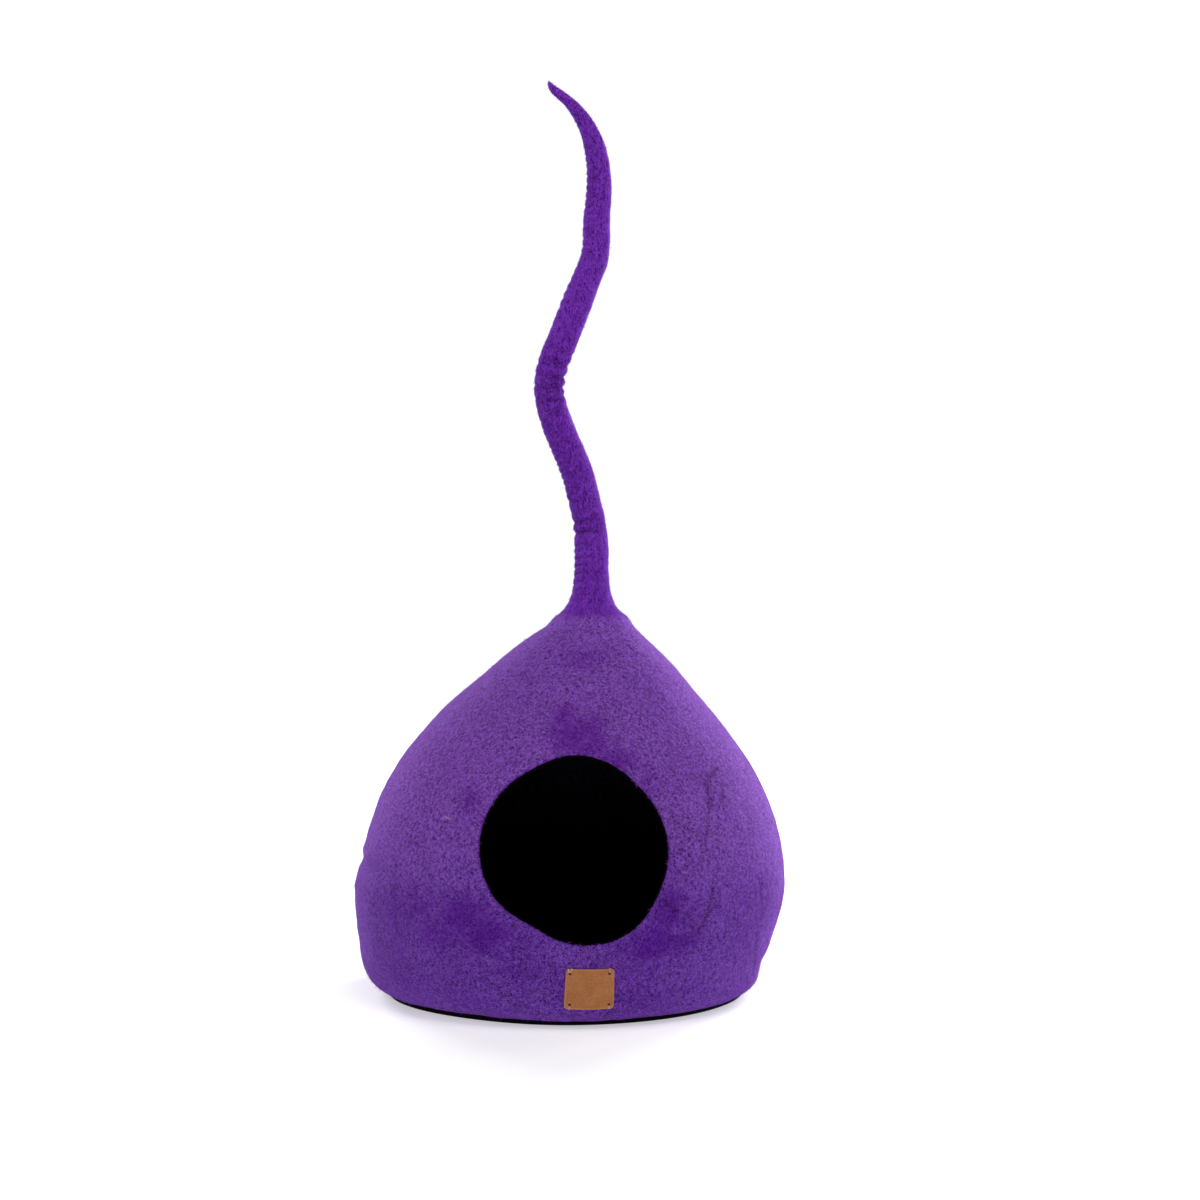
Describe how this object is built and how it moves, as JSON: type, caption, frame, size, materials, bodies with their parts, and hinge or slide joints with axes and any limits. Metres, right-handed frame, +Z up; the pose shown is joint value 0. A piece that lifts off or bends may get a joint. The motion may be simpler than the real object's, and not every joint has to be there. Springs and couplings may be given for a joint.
{
  "type": "felt cat cave",
  "caption": "Hollow rounded pet cave of thick two-colour felt with a round opening in front, a flat sole, a long wavy felt tail on top and a small bare leather patch.",
  "frame": {"origin": "on the floor, below the middle of the body: the middle of the bottom of the bounding box", "axes": "+Z up, along the object's longest side. The opening and the leather patch face -Y, and +X is on the right of someone who looks into the opening."},
  "size_m": [0.454, 0.447, 0.9533],
  "materials": {
    "black_felt": "matte",
    "purple_felt": "matte",
    "tail_felt": "matte",
    "leather": "satin",
    "thread": "matte"
  },
  "bodies": {
    "root": {"inner_felt": "black_felt", "outer_felt": "purple_felt", "tail": "tail_felt", "label": "leather"}
  },
  "joints": []
}
